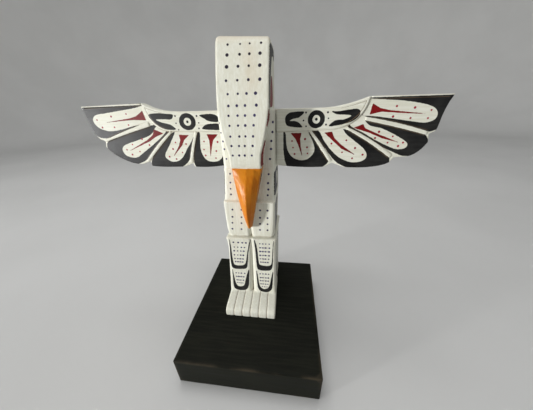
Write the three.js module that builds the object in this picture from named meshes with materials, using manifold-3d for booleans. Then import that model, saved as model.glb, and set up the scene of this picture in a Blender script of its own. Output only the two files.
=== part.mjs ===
// A small carved and painted eagle totem with outspread wings, standing on a rectangular board.
// Millimetres. X runs across the wings, Y from the front to the back, Z up from the underside.
import * as THREE from 'three';
import { mergeVertices } from 'three/addons/utils/BufferGeometryUtils.js';
import Module from 'manifold-3d';

const wasm = await Module();
wasm.setup();

// Board
const boardWidth = 205;
const boardDepth = 216;
const boardThickness = 51;
const boardEdge = 1.2;

// How the board lies under the figure: off to the right, with the toes behind its front edge
const boardShift = 6.6;
const toeSetback = 76;
const clearance = 0.3;

// Post, from the toes at the front to the flat back
const postDepth = 127;
const legTopWidth = 82.4;
const legWaist = 3.4;
const ankleWaist = 1.4;
const tierWidth = 77.6;
const chestWidth = 75.8;
const instepHeight = 22;
const legHeight = 105.5;
const thighHeight = 62.7;
const bellyHeight = 45.3;
const chestHeight = 77.5;

// How far each front face lies behind the toes
const ankleSetback = 33.5;
const kneeSetback = 45;
const legTopSetback = 43.5;
const thighSetback = 46.5;
const bellySetback = 51.5;
const breastSetback = 62;

// Legs and toes
const legGrooveDepth = 6.5;
const legGrooveTop = 3.4;
const legGrooveFoot = 7.4;
const toesPerFoot = 3;
const toeWidth = 13.8;
const toeTipHeight = 15.5;
const toeRound = 1.2;
const toeTaper = 0.03;
const toeOverlap = 0.2;
const legRoot = 20;
const lobeRoot = 50.5;

// Head and beak
const headWidth = 65.6;
const headRise = 79.3;
const chinWidth = 42.4;
const chinDrop = 72.4;
const chinRound = 8;
const chinSetback = 41.5;
const faceArc = 327;
const faceEdge = 2;
const crownRound = 3.6;
const crownEase = 7;
const crownTilt = 3.8;
const beakLength = 92.5;
const beakTipSetback = 38;
const beakTipWidth = 5.4;
const beakRootSetback = 48.5;
const beakRoot = 12;
const beakBow = 12;
const flankBow = 6;

// Raised bands between the tiers
const bandHeight = 2;
const bandRelief = 0.6;

// Wings
const wingReach = 216;
const wingChord = 80.4;
const wingThickness = 11;
const wingSetback = 83;
const wingEdge = 0.7;
const wingBackEdge = 2;
const covertRelief = 2;
const ribRelief = 1.2;
const ribWidth = 4.6;
const rimWidth = 2;
const ribEdge = 0.4;
const housingDepth = 6;
const reliefRoot = 2;
const tenonInset = 1;
const tenonOverlap = 2;
const tenonDrop = 8;
const tenonFoot = 5.6;

// The legs' widths below their flared top
const legWidth = legTopWidth - legWaist;
const ankleWidth = legTopWidth - ankleWaist;

// Levels above the board
const legTop = instepHeight + legHeight;
const thighTop = legTop + thighHeight;
const bellyTop = thighTop + bellyHeight;
const shoulder = bellyTop + chestHeight;
const crown = shoulder + headRise;
const chin = shoulder - chinDrop;

// Turns a geometry into a solid with shared vertices.
function solidFrom(geometry) {
  const bare = geometry.index ? geometry.clone() : geometry;
  bare.deleteAttribute('normal');
  bare.deleteAttribute('uv');
  const merged = mergeVertices(bare, 1e-4);
  const mesh = new wasm.Mesh({
    numProp: 3,
    vertProperties: new Float32Array(merged.attributes.position.array),
    triVerts: new Uint32Array(merged.index.array),
  });
  mesh.merge();
  return new wasm.Manifold(mesh);
}

// Turns a solid back into a geometry with one flat normal for each face.
function geometryFrom(solid) {
  const mesh = solid.getMesh();
  const geometry = new THREE.BufferGeometry();
  geometry.setAttribute('position', new THREE.BufferAttribute(new Float32Array(mesh.vertProperties), 3));
  geometry.setIndex(Array.from(mesh.triVerts));
  const flat = geometry.toNonIndexed();
  flat.computeVertexNormals();
  return flat;
}

// Joins a list of solids.
function join(solids) {
  return solids.reduce((whole, solid) => whole.add(solid));
}

// One closed ring of points at a height: a rectangle from left to right and front to back,
// with rounded corners at the front and small ones at the back.
function ring({
  z, left, right, front, back, round, roundLeft = round, roundRight = round, backRound = 1.5,
}) {
  const points = [];
  const corner = (cx, cy, radius, start, steps) => {
    for (let i = 0; i <= steps; i += 1) {
      const angle = start + (i / steps) * Math.PI / 2;
      points.push(new THREE.Vector3(cx + radius * Math.cos(angle), cy + radius * Math.sin(angle), z));
    }
  };
  corner(left + roundLeft, front + roundLeft, roundLeft, Math.PI, 4);
  corner(right - roundRight, front + roundRight, roundRight, 1.5 * Math.PI, 4);
  corner(right - backRound, back - backRound, backRound, 0, 1);
  corner(left + backRound, back - backRound, backRound, Math.PI / 2, 1);
  return points;
}

// A closed solid through a stack of rings with equal point counts.
function loft(rings) {
  const count = rings[0].length;
  const positions = rings.flat().flatMap((point) => [point.x, point.y, point.z]);
  const index = [];
  for (let level = 0; level + 1 < rings.length; level += 1) {
    for (let i = 0; i < count; i += 1) {
      const a = level * count + i;
      const b = level * count + ((i + 1) % count);
      index.push(a, b, a + count, b, b + count, a + count);
    }
  }
  const last = (rings.length - 1) * count;
  for (let i = 1; i + 1 < count; i += 1) {
    index.push(0, i + 1, i);
    index.push(last, last + i, last + i + 1);
  }
  const geometry = new THREE.BufferGeometry();
  geometry.setAttribute('position', new THREE.Float32BufferAttribute(positions, 3));
  geometry.setIndex(index);
  return solidFrom(geometry);
}

// A stack of rings centred on the figure, with an optional last touch for each point.
function block(sections, touch = () => {}) {
  const rings = sections.map(({ half, back = postDepth, ...rest }) => (
    ring({ left: -half, right: half, back, ...rest })
  ));
  rings.flat().forEach(touch);
  return loft(rings);
}

// A box between two corners.
function boxBetween(low, high) {
  const size = high.clone().sub(low);
  const box = new THREE.BoxGeometry(size.x, size.y, size.z);
  box.translate((low.x + high.x) / 2, (low.y + high.y) / 2, (low.z + high.z) / 2);
  return solidFrom(box);
}

// Toes: the side outline of a toe pushed across its width with rounded edges.
function buildToes() {
  const outline = new THREE.Shape();
  outline.moveTo(0, 0);
  outline.lineTo(kneeSetback + 8, 0);
  outline.lineTo(kneeSetback + 8, instepHeight + 2);
  outline.lineTo(ankleSetback, instepHeight);
  outline.lineTo(toeTipHeight * 0.55, toeTipHeight);
  outline.quadraticCurveTo(0, toeTipHeight * 0.9, 0, toeTipHeight * 0.35);
  outline.closePath();
  const toes = [];
  for (let i = 0; i < 2 * toesPerFoot; i += 1) {
    const toe = new THREE.ExtrudeGeometry(outline, {
      depth: toeWidth - 2 * toeRound + toeOverlap,
      curveSegments: 5,
      bevelThickness: toeRound,
      bevelSize: toeRound,
      bevelOffset: -toeRound,
      bevelSegments: 2,
    });
    // The outline's X becomes the figure's Y, its Y becomes Z, and the push runs along X.
    toe.applyMatrix4(new THREE.Matrix4().set(
      0, 0, 1, (i - toesPerFoot) * toeWidth + toeRound - toeOverlap / 2,
      1, 0, 0, 0,
      0, 1, 0, 0,
      0, 0, 0, 1,
    ));
    const position = toe.attributes.position;
    for (let k = 0; k < position.count; k += 1) {
      const inset = toeTaper * Math.min(Math.max(position.getY(k) / ankleSetback, 0), 1);
      position.setX(k, position.getX(k) * (1 - inset));
    }
    toes.push(solidFrom(toe));
  }
  return join(toes);
}

// Legs: two rounded blocks that lean forward to the feet, with a groove between them that
// opens towards the ankles, under a flared top.
function buildLegs() {
  const stations = [
    { up: -10, width: ankleWidth, setback: ankleSetback, groove: legGrooveFoot },
    { up: 2, width: ankleWidth, setback: ankleSetback, groove: legGrooveFoot },
    { up: legHeight * 0.2, width: legWidth + 0.4, setback: ankleSetback + 1.4, groove: legGrooveFoot },
    { up: legHeight * 0.48, width: legWidth, setback: kneeSetback - 5.4, groove: legGrooveFoot * 0.85 },
    { up: legHeight * 0.8, width: legWidth, setback: kneeSetback, groove: legGrooveFoot * 0.65 },
    { up: legHeight * 0.93, width: legTopWidth - 1.6, setback: legTopSetback + 0.9, groove: legGrooveTop },
    { up: legHeight - 1.8, width: legTopWidth, setback: legTopSetback, groove: legGrooveTop },
    { up: legHeight, width: legTopWidth - 3, setback: legTopSetback + 1.6, groove: legGrooveTop },
  ];
  const leg = (side) => loft(stations.map(({ up, width, setback, groove }) => ring({
    z: instepHeight + up,
    left: side > 0 ? 0.4 : -width / 2,
    right: side > 0 ? width / 2 : -0.4,
    front: setback,
    back: kneeSetback + legGrooveDepth + legRoot,
    roundLeft: side > 0 ? groove : 3.2,
    roundRight: side > 0 ? 3.2 : groove,
  })));
  const heel = ankleSetback + legGrooveDepth;
  const knee = kneeSetback + legGrooveDepth;
  const core = block([
    { z: 0, half: legWidth / 2 - 1, front: heel, round: 2 },
    { z: instepHeight, half: legWidth / 2 - 1, front: heel, round: 2 },
    { z: instepHeight + legHeight * 0.8, half: legWidth / 2 - 0.4, front: knee, round: 2 },
    { z: instepHeight + legHeight * 0.93, half: legTopWidth / 2 - 0.8, front: kneeSetback + 2, round: 2 },
    { z: legTop - 1.8, half: legTopWidth / 2, front: legTopSetback + 2, round: 2 },
    { z: legTop, half: legTopWidth / 2 - 1.5, front: legTopSetback + 2, round: 2 },
  ]);
  return join([leg(-1), leg(1), core]);
}

// Thighs: two rounded lobes side by side that draw in at their lower ends.
function buildThighs() {
  const half = tierWidth / 2;
  const lobe = (side) => {
    const section = (z, draw, round) => ring({
      z,
      left: side > 0 ? draw * 0.2 : -half + draw,
      right: side > 0 ? half - draw : -draw * 0.2,
      front: thighSetback + draw * 1.3,
      back: thighSetback + lobeRoot,
      round,
    });
    return loft([
      section(legTop - 1, 4, 4.6),
      section(legTop + 1.8, 2.4, 5.6),
      section(legTop + 5, 1.1, 6),
      section(legTop + 11, 0.4, 5.5),
      section(legTop + thighHeight * 0.5, 0.1, 4),
      section(thighTop - bandHeight, 0, 3),
    ]);
  };
  const core = block([
    { z: legTop - 1, half: half - 4, front: thighSetback + 10, round: 4 },
    { z: legTop + 8, half: half - 1.2, front: thighSetback + 5, round: 4 },
    { z: thighTop - bandHeight, half: half - 0.4, front: thighSetback + 2, round: 4 },
  ]);
  return join([lobe(-1), lobe(1), core]);
}

// Belly and chest: two tiers, each a little wider at its foot, under raised bands.
function buildTrunk() {
  const half = tierWidth / 2;
  const chest = chestWidth / 2;
  const middle = (bellySetback + breastSetback) / 2;
  const belly = block([
    { z: thighTop - bandHeight, half, front: bellySetback, round: 5.5 },
    { z: thighTop + bellyHeight * 0.5, half: half - 0.3, front: middle, round: 5.5 },
    { z: bellyTop, half: chest, front: breastSetback, round: 5.5 },
  ]);
  const breast = block([
    { z: bellyTop - 1, half: chest, front: breastSetback + 1, round: 5.5 },
    { z: shoulder - 1.5, half: chest, front: breastSetback - 1, round: 5.5 },
    { z: shoulder, half: chest - 1.5, front: breastSetback + 0.5, round: 4.5 },
  ]);
  const band = (z, width, setback) => block([
    { z: z - bandHeight, half: width / 2, front: setback, round: 5.5 },
    { z: z - bandHeight * 0.7, half: width / 2 + bandRelief, front: setback - bandRelief, round: 6 },
    { z: z - bandHeight * 0.3, half: width / 2 + bandRelief, front: setback - bandRelief, round: 6 },
    { z, half: width / 2, front: setback + bandRelief, round: 5.5 },
  ]);
  return join([
    belly,
    breast,
    band(thighTop, tierWidth, thighSetback),
    band(bellyTop, chestWidth, breastSetback),
  ]);
}

// How far the face lies behind the toes at a height: straight above the chin, then leaning back.
function faceSetback(z) {
  const up = Math.max(z - chin - 3, 0);
  return chinSetback + (up * up) / (2 * faceArc);
}

// Half the face's width at a height: narrow at the chin and full from the shoulders up.
function faceHalf(z) {
  const share = THREE.MathUtils.clamp((z - chin - 18) / (chinDrop - 14), 0, 1);
  const eased = share * (1.55 - 0.55 * share);
  return THREE.MathUtils.lerp(chinWidth, headWidth, Math.min(eased, 1)) / 2;
}

// Head: a tall face that leans back to a rounded crown, a little higher on the left, and
// rolls in under the chin.
function buildHead() {
  const steps = 12;
  const sections = [
    { z: chin - 4, half: chinWidth / 2 - 1, front: beakRootSetback + 2, round: 1 },
    { z: chin, half: chinWidth / 2 - 0.4, front: beakRootSetback - 3, round: 1.6 },
    { z: chin + chinRound * 0.3, half: chinWidth / 2, front: chinSetback + 1.6, round: faceEdge },
    { z: chin + chinRound * 0.65, half: chinWidth / 2, front: chinSetback + 0.4, round: faceEdge },
  ];
  for (let i = 0; i <= steps; i += 1) {
    const z = THREE.MathUtils.lerp(chin + chinRound, crown - crownEase, i / steps);
    sections.push({ z, half: faceHalf(z), front: faceSetback(z), round: faceEdge });
  }
  for (const turn of [0.4, 0.75, 1]) {
    const angle = turn * Math.PI / 2;
    const z = crown - crownEase * (1 - Math.sin(angle));
    sections.push({
      z,
      half: headWidth / 2 - crownRound * (1 - Math.cos(angle)),
      front: faceSetback(z) + crownEase * (1 - Math.cos(angle)),
      back: postDepth - crownRound * (1 - Math.cos(angle)),
      round: faceEdge,
    });
  }
  return block(sections, (point) => {
    const share = THREE.MathUtils.smoothstep(point.z, shoulder, crown);
    point.z -= crownTilt * share * point.x / headWidth;
  });
}

// Beak: bevelled facets on a ridge that bows forward below the chin and hooks back to a blunt tip.
function buildBeak() {
  const stations = [-0.03, 0.1, 0.22, 0.36, 0.52, 0.68, 0.82, 0.92, 0.97, 1];
  return loft(stations.map((t) => {
    const left = Math.max(1 - t, 0);
    const full = (chinWidth / 2 - 0.2) * left ** 0.93 + (beakTipWidth / 2) * t;
    const half = t > 0.99 ? full * 0.6 : full;
    const facet = half * 0.5;
    const bow = 4 * Math.max(t, 0) * left;
    const side = THREE.MathUtils.lerp(beakRootSetback, beakTipSetback + 5, t) - flankBow * bow;
    const ridge = THREE.MathUtils.lerp(beakRootSetback - 3, beakTipSetback, t) - beakBow * bow
      + (t > 0.99 ? 1.5 : 0);
    const edge = THREE.MathUtils.lerp(ridge, side, 0.3);
    const z = chin - beakLength * t;
    const back = breastSetback + beakRoot;
    return [
      new THREE.Vector3(-half, side, z),
      new THREE.Vector3(-facet, edge, z),
      new THREE.Vector3(0, ridge, z),
      new THREE.Vector3(facet, edge, z),
      new THREE.Vector3(half, side, z),
      new THREE.Vector3(half, back, z),
      new THREE.Vector3(-half, back, z),
    ];
  }).reverse());
}

// Wing outlines as shares: out along the reach, and up along the chord from the shoulder.
const leftPlan = {
  side: -1,
  riseStart: [0.28, 0],
  riseBend: [0.44, 0.0],
  elbow: [0.537, 0.147],
  tip: [1, 0.125],
  feathers: [
    { bends: [[0.968, -0.2], [0.99, -0.46]], end: [0.905, -0.491] },
    { start: [0.914, -0.606], bends: [[0.88, -0.78], [0.74, -0.99]], end: [0.65, -0.946] },
    { start: [0.585, -0.986], bends: [[0.54, -1.01], [0.44, -1.01]], end: [0.329, -1] },
    { start: [0.247, -0.998], bends: [[0.18, -1.01], [0.1, -1.01]], end: [0, -0.96] },
  ],
  notches: [[0.903, -0.52], [0.587, -0.895], [0.254, -0.931]],
  crease: { bends: [[0.53, -0.05], [0.49, -0.31]], foot: [0.38, -0.325], root: -0.345 },
  ribs: [
    { from: [0.522, -0.2], bend: [0.7, -0.32], to: [0.895, -0.49], swell: [1.3, 1.05, 0.6] },
    { from: [0.375, -0.345], bend: [0.5, -0.6], to: [0.605, -0.89], swell: [0.65, 1, 0.85] },
    { from: [0.192, -0.355], bend: [0.24, -0.65], to: [0.264, -0.91], swell: [0.75, 0.95, 1] },
  ],
};
const rightPlan = {
  side: 1,
  riseStart: [0.3, 0],
  riseBend: [0.42, 0.01],
  elbow: [0.55, 0.142],
  tip: [1, 0.142],
  feathers: [
    { bends: [[0.955, -0.1], [0.975, -0.37]], end: [0.955, -0.392] },
    { start: [0.936, -0.558], bends: [[0.91, -0.7], [0.87, -0.8]], end: [0.82, -0.8] },
    { start: [0.739, -0.899], bends: [[0.69, -0.99], [0.56, -1.01]], end: [0.457, -0.99] },
    { start: [0.326, -0.986], bends: [[0.25, -1], [0.12, -1]], end: [0, -0.955] },
  ],
  notches: [[0.927, -0.43], [0.762, -0.808], [0.376, -0.911]],
  crease: { bends: [[0.545, -0.05], [0.5, -0.28]], foot: [0.36, -0.335], root: -0.36 },
  ribs: [
    { from: [0.545, -0.18], bend: [0.74, -0.28], to: [0.91, -0.415], swell: [0.9, 1.1, 0.95] },
    { from: [0.445, -0.325], bend: [0.6, -0.52], to: [0.735, -0.79], swell: [0.6, 1, 1] },
    { from: [0.215, -0.35], bend: [0.3, -0.62], to: [0.362, -0.88], swell: [0.7, 1, 0.85] },
  ],
};

// A wing point in the figure's X and Z.
function wingPoint(plan, [out, up]) {
  return new THREE.Vector2(
    plan.side * (chestWidth / 2 + clearance + out * wingReach),
    shoulder + up * wingChord,
  );
}

// Pushes a drawn shape from a depth towards the front.
function push(shape, depth, thickness, edge) {
  const geometry = new THREE.ExtrudeGeometry(shape, {
    depth: thickness - 2 * edge,
    curveSegments: 7,
    bevelThickness: edge,
    bevelSize: edge,
    bevelOffset: -edge,
    bevelSegments: 1,
  });
  geometry.rotateX(Math.PI / 2);
  geometry.translate(0, depth - edge, 0);
  return solidFrom(geometry);
}

// Draws the wing's top edge from the root to the elbow.
function drawShoulder(shape, plan) {
  const at = (share) => wingPoint(plan, share);
  const start = at([0, 0]);
  const rise = at(plan.riseStart);
  const bend = at(plan.riseBend);
  const elbow = at(plan.elbow);
  shape.moveTo(start.x, start.y);
  shape.lineTo(rise.x, rise.y);
  shape.quadraticCurveTo(bend.x, bend.y, elbow.x, elbow.y);
}

// A cubic curve to a wing point.
function curveTo(shape, plan, bends, end) {
  const [first, second] = bends.map((share) => wingPoint(plan, share));
  const last = wingPoint(plan, end);
  shape.bezierCurveTo(first.x, first.y, second.x, second.y, last.x, last.y);
}

// A raised strip along a bent centre line, with its width's shares at the start, middle and end.
function ribShape(plan, { from, bend, to, swell: [root, middle, end] }, width) {
  const curve = new THREE.QuadraticBezierCurve(...[from, bend, to].map((share) => wingPoint(plan, share)));
  const steps = 8;
  const above = [];
  const below = [];
  for (let i = 0; i <= steps; i += 1) {
    const t = i / steps;
    const point = curve.getPoint(t);
    const along = curve.getTangent(t);
    const swell = root * (1 - t) * (1 - 2 * t) + 4 * middle * t * (1 - t) + end * t * (2 * t - 1);
    const half = (width / 2) * swell;
    above.push(new THREE.Vector2(point.x - along.y * half, point.y + along.x * half));
    below.unshift(new THREE.Vector2(point.x + along.y * half, point.y - along.x * half));
  }
  return new THREE.Shape([...above, ...below]);
}

// Wing: a notched plank with a raised shoulder field, ribs between the feathers and a top rim.
function buildWing(plan) {
  const face = wingSetback;
  const outline = new THREE.Shape();
  drawShoulder(outline, plan);
  const tip = wingPoint(plan, plan.tip);
  outline.lineTo(tip.x, tip.y);
  plan.feathers.forEach((feather, i) => {
    if (feather.start) {
      const notch = wingPoint(plan, plan.notches[i - 1]);
      const start = wingPoint(plan, feather.start);
      outline.lineTo(notch.x, notch.y);
      outline.lineTo(start.x, start.y);
    }
    curveTo(outline, plan, feather.bends, feather.end);
  });
  outline.closePath();
  const raised = (shape) => push(shape, face + reliefRoot, ribRelief + reliefRoot, ribEdge);
  const covert = new THREE.Shape();
  drawShoulder(covert, plan);
  curveTo(covert, plan, plan.crease.bends, plan.crease.foot);
  const root = wingPoint(plan, [0, plan.crease.root]);
  covert.lineTo(root.x, root.y);
  covert.closePath();
  const rimDrop = rimWidth / 2 / wingChord;
  const rim = {
    from: [plan.elbow[0] + 0.01, plan.elbow[1] - rimDrop],
    bend: [(plan.elbow[0] + plan.tip[0]) / 2, (plan.elbow[1] + plan.tip[1]) / 2 - rimDrop],
    to: [plan.tip[0] - 0.02, plan.tip[1] - rimDrop * 1.4],
    swell: [1.2, 1, 0.8],
  };
  const back = face + wingThickness;
  const tenonEnds = [chestWidth / 2 - housingDepth, chestWidth / 2 + tenonOverlap].map((x) => plan.side * x);
  const tenon = boxBetween(
    new THREE.Vector3(Math.min(...tenonEnds), face + tenonInset, shoulder - wingChord + tenonFoot),
    new THREE.Vector3(Math.max(...tenonEnds), back - tenonInset, shoulder - tenonDrop),
  );
  return join([
    push(outline, face + wingThickness * 0.6, wingThickness * 0.6, wingEdge),
    push(outline, back, wingThickness * 0.8, wingBackEdge),
    push(covert, face + reliefRoot, covertRelief + reliefRoot, wingEdge),
    ...plan.ribs.map((rib) => raised(ribShape(plan, rib, ribWidth))),
    raised(ribShape(plan, rim, rimWidth)),
    tenon,
  ]);
}

// The seats for the wings in the post's sides, a clearance larger than what goes in.
function wingSeats() {
  const reach = chestWidth / 2 - housingDepth - clearance;
  const cut = (side) => boxBetween(
    new THREE.Vector3(Math.min(side * reach, side * legTopWidth), wingSetback + tenonInset - clearance,
      shoulder - wingChord + tenonFoot - clearance),
    new THREE.Vector3(Math.max(side * reach, side * legTopWidth),
      wingSetback + wingThickness - tenonInset + clearance, shoulder - tenonDrop + clearance),
  );
  const slot = (side) => boxBetween(
    new THREE.Vector3(Math.min(side * (chestWidth / 2), side * legTopWidth), wingSetback - clearance,
      shoulder - wingChord * 1.02),
    new THREE.Vector3(Math.max(side * (chestWidth / 2), side * legTopWidth),
      wingSetback + wingThickness + clearance, shoulder),
  );
  return join([cut(-1), cut(1), slot(-1), slot(1)]);
}

// Board: a plain rectangle with eased edges.
function buildBoard() {
  const outline = new THREE.Shape();
  outline.moveTo(-boardWidth / 2, -boardDepth / 2);
  outline.lineTo(boardWidth / 2, -boardDepth / 2);
  outline.lineTo(boardWidth / 2, boardDepth / 2);
  outline.lineTo(-boardWidth / 2, boardDepth / 2);
  outline.closePath();
  const geometry = new THREE.ExtrudeGeometry(outline, {
    depth: boardThickness - 2 * boardEdge,
    bevelThickness: boardEdge,
    bevelSize: boardEdge,
    bevelOffset: -boardEdge,
    bevelSegments: 1,
  });
  geometry.translate(boardShift, 0, boardEdge);
  return solidFrom(geometry);
}

// A named mesh with its own painted finish.
function piece(name, solid, colour, roughness) {
  const material = new THREE.MeshStandardMaterial({ color: colour, roughness, metalness: 0 });
  const mesh = new THREE.Mesh(geometryFrom(solid), material);
  mesh.name = name;
  return mesh;
}

const post = join([
  buildToes(),
  buildLegs(),
  buildThighs(),
  buildTrunk(),
  buildHead(),
  buildBeak(),
]).subtract(wingSeats());

const figure = new THREE.Group();
figure.position.set(0, toeSetback - boardDepth / 2, boardThickness + clearance);
figure.add(
  piece('eagle_post', post, 0xe9e6da, 0.55),
  piece('left_wing', buildWing(leftPlan), 0xe6e3d8, 0.55),
  piece('right_wing', buildWing(rightPlan), 0xe6e3d8, 0.55),
);

const totem = new THREE.Group();
totem.add(piece('base_board', buildBoard(), 0x1b1c18, 0.7), figure);

export default totem;
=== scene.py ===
"""Looks of a small carved and painted eagle totem on a black board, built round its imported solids."""
import logging
import math
from dataclasses import dataclass, field
from enum import Enum
from typing import Sequence, Union

import bmesh
import bpy
import numpy as np
from mathutils import Matrix, Vector, noise
from mathutils.bvhtree import BVHTree
from mathutils.kdtree import KDTree


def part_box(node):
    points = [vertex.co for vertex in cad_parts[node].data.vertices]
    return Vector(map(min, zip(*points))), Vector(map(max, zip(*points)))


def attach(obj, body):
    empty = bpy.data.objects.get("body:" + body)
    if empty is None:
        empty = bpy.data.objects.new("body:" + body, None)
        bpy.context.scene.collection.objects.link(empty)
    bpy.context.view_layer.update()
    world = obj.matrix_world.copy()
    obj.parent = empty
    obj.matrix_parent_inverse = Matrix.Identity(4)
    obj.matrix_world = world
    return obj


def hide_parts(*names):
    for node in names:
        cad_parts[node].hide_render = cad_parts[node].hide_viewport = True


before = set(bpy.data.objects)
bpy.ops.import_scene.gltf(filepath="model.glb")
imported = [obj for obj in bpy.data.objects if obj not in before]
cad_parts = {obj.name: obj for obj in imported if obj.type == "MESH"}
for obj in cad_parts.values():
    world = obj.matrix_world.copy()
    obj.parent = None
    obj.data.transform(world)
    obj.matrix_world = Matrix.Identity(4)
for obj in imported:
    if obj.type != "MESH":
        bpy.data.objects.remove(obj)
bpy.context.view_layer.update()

LOG = logging.getLogger("totem")
MM = 0.001
ROOT = "root"

# The figure's own millimetres start at its toes' fronts, on the board's top.
FIGURE_ORIGIN = np.array([0.0, -32.0, 51.3])
CHEST_HALF = 38.2
SHOULDER = 313.0
CHIN = 240.6
FAR = 8.0

Pair = tuple[float, float]
Triple = tuple[float, float, float]
Loop = tuple[Pair, ...]
Value = Union[bpy.types.NodeSocket, float, int, Sequence[float]]


class Slot(Enum):
    """Names of material slots, kept on each piece."""

    BOARD = "black_paint"
    POST = "white_paint"
    WING = "wing_paint"


class Brush(Enum):
    """The way the brush ran, as noise scales along X, Y and Z per metre."""

    UPRIGHT = (420.0, 420.0, 26.0)
    ACROSS = (26.0, 420.0, 420.0)


# Signed distances, in millimetres and negative inside.


def smooth_loop(points: Loop, steps: int = 5) -> np.ndarray:
    """A smooth closed curve through a few points.

    Args:
        points: the points that the curve passes through, in order.
        steps: short lines from each point to the next.

    Returns:
        The curve's points, one row each.
    """
    p = np.array(points, float)
    before, after, beyond = np.roll(p, 1, 0), np.roll(p, -1, 0), np.roll(p, -2, 0)
    rows = []
    for t in np.arange(steps) / steps:
        rows.append(0.5 * (2 * p + (after - before) * t
                           + (2 * before - 5 * p + 4 * after - beyond) * t ** 2
                           + (3 * p - before - 3 * after + beyond) * t ** 3))
    return np.stack(rows, 1).reshape(-1, 2)


def loop_distance(at: np.ndarray, loop: np.ndarray) -> np.ndarray:
    """Signed distance from points to a closed loop.

    Args:
        at: the points, one row each.
        loop: the loop's corners, in order.

    Returns:
        One distance per point, negative inside, and FAR where the loop is far away.
    """
    result = np.full(len(at), FAR)
    near = np.all((at > loop.min(0) - FAR) & (at < loop.max(0) + FAR), axis=1)
    q = at[near]
    best = np.full(len(q), FAR ** 2)
    inside = np.zeros(len(q), bool)
    for a, b in zip(loop, np.roll(loop, -1, 0)):
        side = b - a
        if not side.any():
            continue
        share = np.clip(((q - a) @ side) / (side @ side), 0, 1)
        best = np.minimum(best, ((q - a - share[:, None] * side) ** 2).sum(1))
        crosses = (a[1] > q[:, 1]) != (b[1] > q[:, 1])
        if crosses.any():
            reach = a[0] + (q[:, 1] - a[1]) * side[0] / (side[1] or 1e-9)
            inside ^= crosses & (q[:, 0] < reach)
    result[near] = np.sqrt(best) * np.where(inside, -1, 1)
    return result


def ring_distance(at: np.ndarray, outer: Loop, inner: Loop) -> np.ndarray:
    """Signed distance from points to what lies between two smooth loops, one inside the other."""
    return np.maximum(loop_distance(at, smooth_loop(outer)), -loop_distance(at, smooth_loop(inner)))


def stroke_distance(at: np.ndarray, line: np.ndarray, halves: np.ndarray) -> np.ndarray:
    """Signed distance from points to a brush stroke of changing width.

    Args:
        at: the points, one row each.
        line: the stroke's middle, one row a point.
        halves: half the stroke's width at each of those.

    Returns:
        One distance per point, negative inside the stroke.
    """
    best = np.full(len(at), FAR)
    for a, b, ha, hb in zip(line[:-1], line[1:], halves[:-1], halves[1:]):
        side = b - a
        share = np.clip(((at - a) @ side) / (side @ side), 0, 1)
        away = np.linalg.norm(at - a - share[:, None] * side, axis=1)
        best = np.minimum(best, away - (ha + (hb - ha) * share))
    return best


def bezier(points: Loop, steps: int = 12) -> np.ndarray:
    """Points along a quadratic or cubic curve, ends included.

    Args:
        points: the curve's three or four controls.
        steps: short lines along it.

    Returns:
        The points, one row each.
    """
    t = np.linspace(0, 1, steps + 1)[:, None]
    rows = [np.array(p, float)[None] * np.ones_like(t) for p in points]
    while len(rows) > 1:
        rows = [a + (b - a) * t for a, b in zip(rows[:-1], rows[1:])]
    return rows[0]


def oval_distance(at: np.ndarray, centre: Pair, half_wide: float, half_high: float) -> np.ndarray:
    """Signed distance from points to an oval, near enough for a brushed edge.

    Args:
        at: the points, one row each.
        centre: the oval's middle.
        half_wide: half its width.
        half_high: half its height.

    Returns:
        One distance per point, negative inside.
    """
    scaled = (at - np.array(centre)) / np.array([half_wide, half_high])
    return (np.linalg.norm(scaled, axis=1) - 1) * min(half_wide, half_high)


def numbers(items: bpy.types.bpy_prop_collection, key: str, width: int = 1) -> np.ndarray:
    """Reads one property of all the items of a mesh.

    Args:
        items: the items, such as the vertices.
        key: the property's name.
        width: how many numbers each item holds.

    Returns:
        One number per item, or one row per item where it holds several.
    """
    flat = np.empty(len(items) * width, np.float32)
    items.foreach_get(key, flat)
    return flat.reshape(-1, width) if width > 1 else flat


# Finishes.


@dataclass(frozen=True)
class Paint:
    """One paint: its colour where thick and where thin, and its roughness."""

    thick: Triple
    thin: Triple
    roughness: float


CREAM = Paint((0.790, 0.790, 0.695), (0.715, 0.705, 0.590), 0.50)
BLACK = Paint((0.0055, 0.0055, 0.0060), (0.020, 0.020, 0.019), 0.46)
RED = Paint((0.150, 0.0012, 0.0016), (0.215, 0.004, 0.006), 0.48)
CRIMSON = Paint((0.260, 0.004, 0.016), (0.340, 0.022, 0.040), 0.50)
NIGHT = Paint((0.010, 0.006, 0.012), (0.020, 0.014, 0.026), 0.50)
VIOLET = Paint((0.030, 0.022, 0.070), (0.055, 0.045, 0.130), 0.50)
ORANGE = Paint((0.560, 0.150, 0.003), (0.630, 0.215, 0.010), 0.36)
BOARD_BLACK = Paint((0.0060, 0.0066, 0.0042), (0.0135, 0.0143, 0.0095), 0.62)
# Brown for dirt and painted shade in the hollows, creases and grooves.
GRIME_AND_SHADE = (0.230, 0.155, 0.085)
SEAM_TAN = (0.230, 0.150, 0.085)
BARE_WOOD = (0.520, 0.400, 0.250)
# Tan for a patch on the upper face and for painted shade at the crown's rolled edge.
TAN_AND_CROWN_SHADE = (0.640, 0.520, 0.360)
DUST = (0.25, 0.24, 0.21)
RUBBED_BOARD = (0.11, 0.085, 0.055)
FLOOR_PALE = ((0.66, 0.66, 0.645), (0.70, 0.70, 0.685))
GLOSS_IOR = 1.47


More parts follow.
